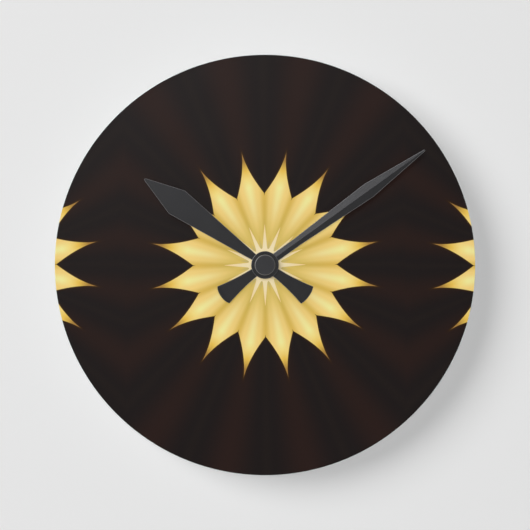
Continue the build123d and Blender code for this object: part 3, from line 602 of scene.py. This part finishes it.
def finished_piece(name, mesh, body, slot, replaced):
    """A flat-shaded piece in its place: it rides on a body, takes a slot's finish, stands for a node."""
    mesh.polygons.foreach_set("use_smooth", np.zeros(len(mesh.polygons), bool))
    piece = bpy.data.objects.new(name, mesh)
    bpy.context.scene.collection.objects.link(piece)
    mesh.materials.append(finishes[slot])
    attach(piece, body)
    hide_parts(replaced)
    return piece


def turned(profile, segments):
    """Closed ring from a closed profile of (radius, depth) points: the profile is carried round Y."""
    radius, depth = np.array(profile, float).T
    angle = np.linspace(0, TURN, segments, endpoint=False)[:, None]
    return np.stack([radius * np.sin(angle), depth + 0 * angle, radius * np.cos(angle)], axis=-1)


rim_round = 0.1 * MM
hole = 4.2 * MM
map_margin = 1.01


def dial_face():
    """The print as one thin disc with a hole. Its profile runs out along the back, up the rim, which is
    rounded over a quarter circle, and back in along the front to the hole."""
    quarter = np.linspace(0, pi / 2, 5)
    rim = [
        (print_radius - rim_round * (1 - np.cos(a)), print_front + rim_round * (1 - np.sin(a)))
        for a in quarter
    ]
    front = [(r, print_front) for r in np.linspace(print_radius - rim_round, hole, 40)[1:]]
    profile = [(hole, print_back), (print_radius, print_back)] + rim + front
    mesh = ring_surface("dial_face", turned(profile, 256))
    flat_map = mesh.uv_layers.new(name="OFBake")
    corner = np.zeros(len(mesh.loops), np.int32)
    mesh.loops.foreach_get("vertex_index", corner)
    places = np.zeros(len(mesh.vertices) * 3, np.float32)
    mesh.vertices.foreach_get("co", places)
    places = places.reshape(-1, 3)[corner]
    across = np.stack([places[:, 0], places[:, 2]], axis=-1) / (2 * map_margin * print_radius) + 0.5
    flat_map.data.foreach_set("uv", across.astype(np.float32).ravel())
    return finished_piece("dial_face", mesh, "movement", "dial_print", "dial_print")


dial_face()


# ---- minute hand, in millimetres: half widths and heights along it from the hands' axis ----
minute_turn = radians(54.3)
hand_back = reach("minute_hand", 1, 1) / MM
hub_thickness = hand_back - reach("minute_hand", 1, 0) / MM
hub_outside = 6.6
hub_bore = 1.5
inside_hub = 4.6
blade_stations = [(inside_hub, 2.1), (19.0, 2.1), (61.0, 3.75), (93.45, 0.45), (93.9, 0.225)]
blade_rows = 12
ridge_height = 0.85
ridge_slope = 0.16
tail_corner = 24.4
tail_reach = 25.85
tail_flare = (1.97, 0.03, 3.10)
tail_flare_at = 24.9
tail_end_power = 2.6
tail_thickness = 0.5
edge_roll = 0.2
roll_steps = [(0.0, 1.0), (0.3, 0.3), (1.0, 0.0)]


def closed_skin(name, points):
    """Quads round and along a grid whose rows are closed sections. Its first and last rows are filled in,
    and its faces are turned outwards."""
    rows, columns = points.shape[:2]
    row = np.arange(rows - 1)[:, None] * columns
    column = np.arange(columns)[None, :]
    after = (column + 1) % columns
    corners = [row + column, row + after, row + columns + after, row + columns + column]
    sides = np.stack(corners, axis=-1).reshape(-1, 4).tolist()
    ends = [list(range(columns)), list(range((rows - 1) * columns, rows * columns))]
    mesh = bpy.data.meshes.new(name)
    mesh.from_pydata(points.reshape(-1, 3).tolist(), [], sides + ends)
    work = bmesh.new()
    work.from_mesh(mesh)
    bmesh.ops.recalc_face_normals(work, faces=work.faces)
    work.to_mesh(mesh)
    work.free()
    return mesh


def on_minute_hand(across, along, height):
    """Places on the dial of points given across and along the hand and above its back, in millimetres."""
    x = along * np.sin(minute_turn) + across * np.cos(minute_turn)
    z = along * np.cos(minute_turn) - across * np.sin(minute_turn)
    return np.stack([x, hand_back - height + 0 * x, z], axis=-1) * MM


def hand_piece(name, mesh):
    return finished_piece(name, mesh, "minute_arbor", "hand_black", "minute_hand")


def minute_blade():
    """Creased blade. Its half width runs straight between stations. Its top falls from the ridge at one
    slope, and turns down to its sides over a small roll."""
    stations = np.array(blade_stations)
    stretches = zip(stations[:-1, 0], stations[1:, 0])
    along = np.concatenate([np.linspace(a, b, blade_rows, endpoint=False) for a, b in stretches])
    along = np.append(along, stations[-1, 0])[:, None]
    half = np.interp(along, stations[:, 0], stations[:, 1])
    roll = np.minimum(edge_roll, 0.6 * half)
    edge = ridge_height - ridge_slope * half
    inwards = [half - roll * share for share, drop in roll_steps]
    heights = [edge - roll * drop for share, drop in roll_steps[:-1]]
    heights.append(ridge_height - ridge_slope * inwards[-1])
    across = np.hstack([-half, *[-u for u in inwards], 0 * half, *inwards[::-1], half])
    height = np.hstack([0 * half, *heights, 0 * half + ridge_height, *heights[::-1], 0 * half])
    grid = on_minute_hand(across, along + 0 * across, height)
    return hand_piece("minute_blade", closed_skin("minute_blade", grid))


def tail_outline():
    """Half width along the tail by a square law, then an end that bulges less, by a power, away from its
    middle."""
    root, linear, square = tail_flare
    along = np.linspace(inside_hub, tail_corner, 24)
    share = along / tail_flare_at
    half = root + linear * share + square * share**2
    end_half = half[-1] * np.cos(np.linspace(0, pi / 2, 14))[1:]
    bulge = (tail_reach - tail_corner) * (1 - (end_half / half[-1]) ** tail_end_power)
    along = np.concatenate([along, tail_corner + bulge])
    half = np.concatenate([half, end_half])
    right = np.stack([half, -along], axis=-1)
    left = np.stack([-half[:-1], -along[:-1]], axis=-1)[::-1]
    return np.concatenate([right, left])


def minute_tail():
    """Flat tail: its outline is carried up its side and inwards over the roll, then filled in."""
    outline = tail_outline()
    tangent = np.roll(outline, -1, axis=0) - np.roll(outline, 1, axis=0)
    tangent /= np.linalg.norm(tangent, axis=1)[:, None]
    inward = np.stack([tangent[:, 1], -tangent[:, 0]], axis=-1)
    rings = [on_minute_hand(outline[:, 0], outline[:, 1], 0 * outline[:, 0])]
    for share, drop in roll_steps:
        ring = outline + inward * edge_roll * share
        height = tail_thickness - edge_roll * drop + 0 * ring[:, 0]
        rings.append(on_minute_hand(ring[:, 0], ring[:, 1], height))
    return hand_piece("minute_tail", closed_skin("minute_tail", np.stack(rings)))


def minute_hub():
    """Disc of the hub: a ring round the stud, whose front edge turns over the roll."""
    front = hand_back - hub_thickness
    rim = [(hub_outside - edge_roll * share, front + edge_roll * drop) for share, drop in roll_steps]
    profile = np.array([(hub_bore, hand_back), (hub_outside, hand_back), *rim, (hub_bore, front)]) * MM
    return hand_piece("minute_hub", ring_surface("minute_hub", turned(profile, 96)))


minute_blade()
minute_tail()
minute_hub()


# ---- stage ----
def stage_sheet(name, corners, material):
    mesh = bpy.data.meshes.new(name)
    mesh.from_pydata(corners, [], [(0, 1, 2, 3)])
    mesh.materials.append(material)
    sheet = bpy.data.objects.new(name, mesh)
    bpy.context.scene.collection.objects.link(sheet)
    return sheet


def painted_plaster():
    """Pale matt paint, seen from its front only: from behind the wall lets the clock show."""
    recipe = Recipe("painted_plaster")
    relief = recipe.bump(recipe.noise(2.5, 4.0), 0.02)
    recipe.surface(Base_Color=tint(232, 232, 232), Roughness=0.9, Specular_IOR_Level=0.1, Normal=relief)
    behind = recipe.add("NewGeometry", {}, [], "Backfacing")
    clear = recipe.add("BsdfTransparent", {}, [])
    shade = Wire(recipe, recipe.shader.outputs[0])
    seen = recipe.add("MixShader", {}, [behind, shade, clear])
    recipe.tree.links.new(seen.socket, recipe.tree.nodes["Material Output"].inputs["Surface"])
    return recipe.material


def pale_floor():
    recipe = Recipe("pale_floor")
    relief = recipe.bump(recipe.noise(3.0, 3.0), 0.02)
    pale = tint(224, 224, 223)
    recipe.surface(Emission_Color=pale, Emission_Strength=0.55)
    return recipe.surface(Base_Color=tint(150, 150, 149), Roughness=0.8, Normal=relief)


wall_y = 0.6 * MM
floor_z = -0.45
stage_half = 20.0
wall = stage_sheet(
    "wall",
    [
        (-stage_half, wall_y, floor_z),
        (stage_half, wall_y, floor_z),
        (stage_half, wall_y, stage_half),
        (-stage_half, wall_y, stage_half),
    ],
    painted_plaster(),
)
wall.visible_shadow = False
floor = stage_sheet(
    "floor",
    [
        (-stage_half, -stage_half, floor_z),
        (stage_half, -stage_half, floor_z),
        (stage_half, stage_half, floor_z),
        (-stage_half, stage_half, floor_z),
    ],
    pale_floor(),
)
floor.visible_diffuse = False


# ---- light ----
def soft_light(name, direction, distance, width, brightness):
    """A round soft light aimed at the clock. Brightness is what it gives a surface that faces it."""
    place = Vector(direction).normalized() * distance
    lamp = bpy.data.lights.new(name, "AREA")
    lamp.shape = "DISK"
    lamp.size = width
    lamp.energy = brightness * pi * pi * distance**2
    light = bpy.data.objects.new(name, lamp)
    light.location = place
    light.rotation_euler = (-place).to_track_quat("-Z", "Y").to_euler()
    bpy.context.scene.collection.objects.link(light)
    return light


key_share = 0.455
front_share = 0.460
world_share = 0.10
world_below = 0.25
world_above = 0.75
world_seen = 0.78
key = soft_light("key", (-0.632, -0.707, 0.318), 6.0, 4.1, key_share / 0.707)
front = soft_light("front_fill", (0.0, -1.0, 0.03), 4.0, 1.0, front_share)
front.visible_glossy = False
for name, direction, brightness in (
    ("upper_panel", (-0.126, -0.947, 0.293), 0.170),
    ("lower_panel", (0.238, -0.947, -0.213), 0.026),
):
    panel = soft_light(name, direction, 1.5, 0.42, brightness)
    panel.visible_diffuse = False

# The hands throw no shadow from the key light; the dial and the case do.
shadow_casters = bpy.data.collections.new("shadow_casters")
for thing in bpy.data.objects:
    if thing.get("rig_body") == "movement":
        shadow_casters.objects.link(thing)
key.light_linking.blocker_collection = shadow_casters
soft_light("back_key", (0.5, 0.8, 0.6), 1.5, 0.9, 0.7)
soft_light("back_fill", (-0.4, 1.0, 0.1), 1.6, 0.9, 0.35)


def room_light():
    """An even pale room: dim where it lights matt surfaces, brighter where gloss mirrors it."""
    world = bpy.data.worlds.new("room")
    bpy.context.scene.world = world
    world.use_nodes = True
    nodes, links = world.node_tree.nodes, world.node_tree.links
    background = nodes["Background"]
    path = nodes.new("ShaderNodeLightPath")
    coordinates = nodes.new("ShaderNodeTexCoord")
    split = nodes.new("ShaderNodeSeparateXYZ")
    links.new(coordinates.outputs["Generated"], split.inputs[0])
    height = nodes.new("ShaderNodeMapRange")
    links.new(split.outputs["Z"], height.inputs["Value"])
    limits = {"From Min": -1.0, "From Max": 1.0, "To Min": world_below, "To Max": world_above}
    for name, value in limits.items():
        height.inputs[name].default_value = value
    gloss = nodes.new("ShaderNodeMix")
    links.new(path.outputs["Is Glossy Ray"], gloss.inputs[0])
    gloss.inputs[2].default_value = world_share
    links.new(height.outputs[0], gloss.inputs[3])
    seen = nodes.new("ShaderNodeMix")
    links.new(path.outputs["Is Camera Ray"], seen.inputs[0])
    links.new(gloss.outputs[0], seen.inputs[2])
    seen.inputs[3].default_value = world_seen
    links.new(seen.outputs[0], background.inputs["Strength"])
    background.inputs["Color"].default_value = (1.0, 1.0, 1.0, 1.0)


room_light()

# ---- camera: straight at the dial ----
camera_distance = 0.709
lens = bpy.data.cameras.new("camera")
lens.lens = 100.0
lens.sensor_width = 36.0
lens.clip_start = 0.01
camera = bpy.data.objects.new("camera", lens)
camera.location = (0.0, print_front - camera_distance, 0.0)
camera.rotation_euler = (pi / 2, 0.0, 0.0)
bpy.context.scene.collection.objects.link(camera)
bpy.context.scene.camera = camera
bpy.context.scene.view_settings.view_transform = "Standard"
